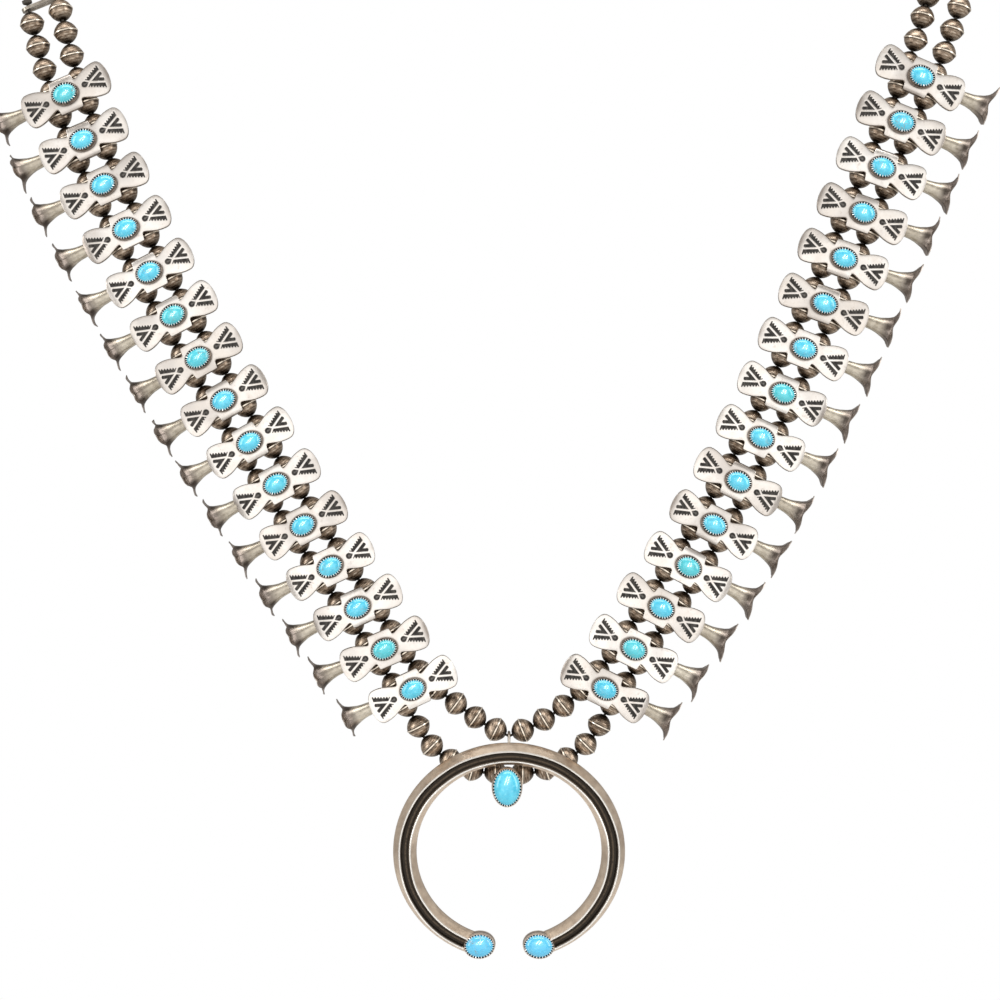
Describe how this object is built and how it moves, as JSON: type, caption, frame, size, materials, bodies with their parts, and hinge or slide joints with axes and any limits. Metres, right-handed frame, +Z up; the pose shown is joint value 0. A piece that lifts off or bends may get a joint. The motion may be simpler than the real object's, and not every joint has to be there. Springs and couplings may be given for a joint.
{
  "type": "squash blossom necklace",
  "caption": "Silver bead necklace of paired strands with stamped blossom stations set with turquoise, flaring trumpets, and an open crescent pendant that hangs free at the front.",
  "frame": {"origin": "the middle of the clasp, where the inner strand lies on the nape of the neck", "axes": "+Z up, the crescent pendant hangs towards -Z; the front of the necklace, with the stones and stamped plates, faces -Y; +X is the viewer's right"},
  "size_m": [0.2519, 0.0817, 0.2816],
  "materials": {
    "antiqued_silver": "antiqued satin silver, dark in the bores and bright along the seams",
    "polished_silver": "polished silver sheet with blackened stamps and worn satin trumpets",
    "satin_silver": "satin silver with a blackened channel",
    "turquoise": "polished sky blue turquoise with fine brown matrix in places",
    "thread": "dark stringing cord"
  },
  "bodies": {
    "strands": {"outer_beads_left": "antiqued_silver", "outer_beads_right": "antiqued_silver", "inner_beads_left": "antiqued_silver", "inner_beads_right": "antiqued_silver", "outer_thread": "thread", "inner_thread": "thread", "blossom_left_01": "polished_silver", "blossom_left_02": "polished_silver", "blossom_left_03": "polished_silver", "blossom_left_04": "polished_silver", "blossom_left_05": "polished_silver", "blossom_left_06": "polished_silver", "blossom_left_07": "polished_silver", "blossom_left_08": "polished_silver", "blossom_left_09": "polished_silver", "blossom_left_10": "polished_silver", "blossom_left_11": "polished_silver", "blossom_left_12": "polished_silver", "blossom_left_13": "polished_silver", "blossom_left_14": "polished_silver", "blossom_left_15": "polished_silver", "blossom_right_01": "polished_silver", "blossom_right_02": "polished_silver", "blossom_right_03": "polished_silver", "blossom_right_04": "polished_silver", "blossom_right_05": "polished_silver", "blossom_right_06": "polished_silver", "blossom_right_07": "polished_silver", "blossom_right_08": "polished_silver", "blossom_right_09": "polished_silver", "blossom_right_10": "polished_silver", "blossom_right_11": "polished_silver", "blossom_right_12": "polished_silver", "blossom_right_13": "polished_silver", "blossom_right_14": "polished_silver", "blossom_right_15": "polished_silver", "blossom_stones_left": "turquoise", "blossom_stones_right": "turquoise", "drop_setting": "satin_silver", "drop_stone": "turquoise", "strand_link_left": "satin_silver", "strand_link_right": "satin_silver", "clasp": "satin_silver"},
    "crescent": {"naja": "satin_silver", "naja_stone_left": "turquoise", "naja_stone_right": "turquoise"}
  },
  "joints": [
    {"name": "naja_swing", "type": "hinge", "parent": "strands", "child": "crescent", "pos_m": [0, -0.07, -0.224], "axis": [-1, 0, 0], "range_deg": [0, 45]}
  ]
}
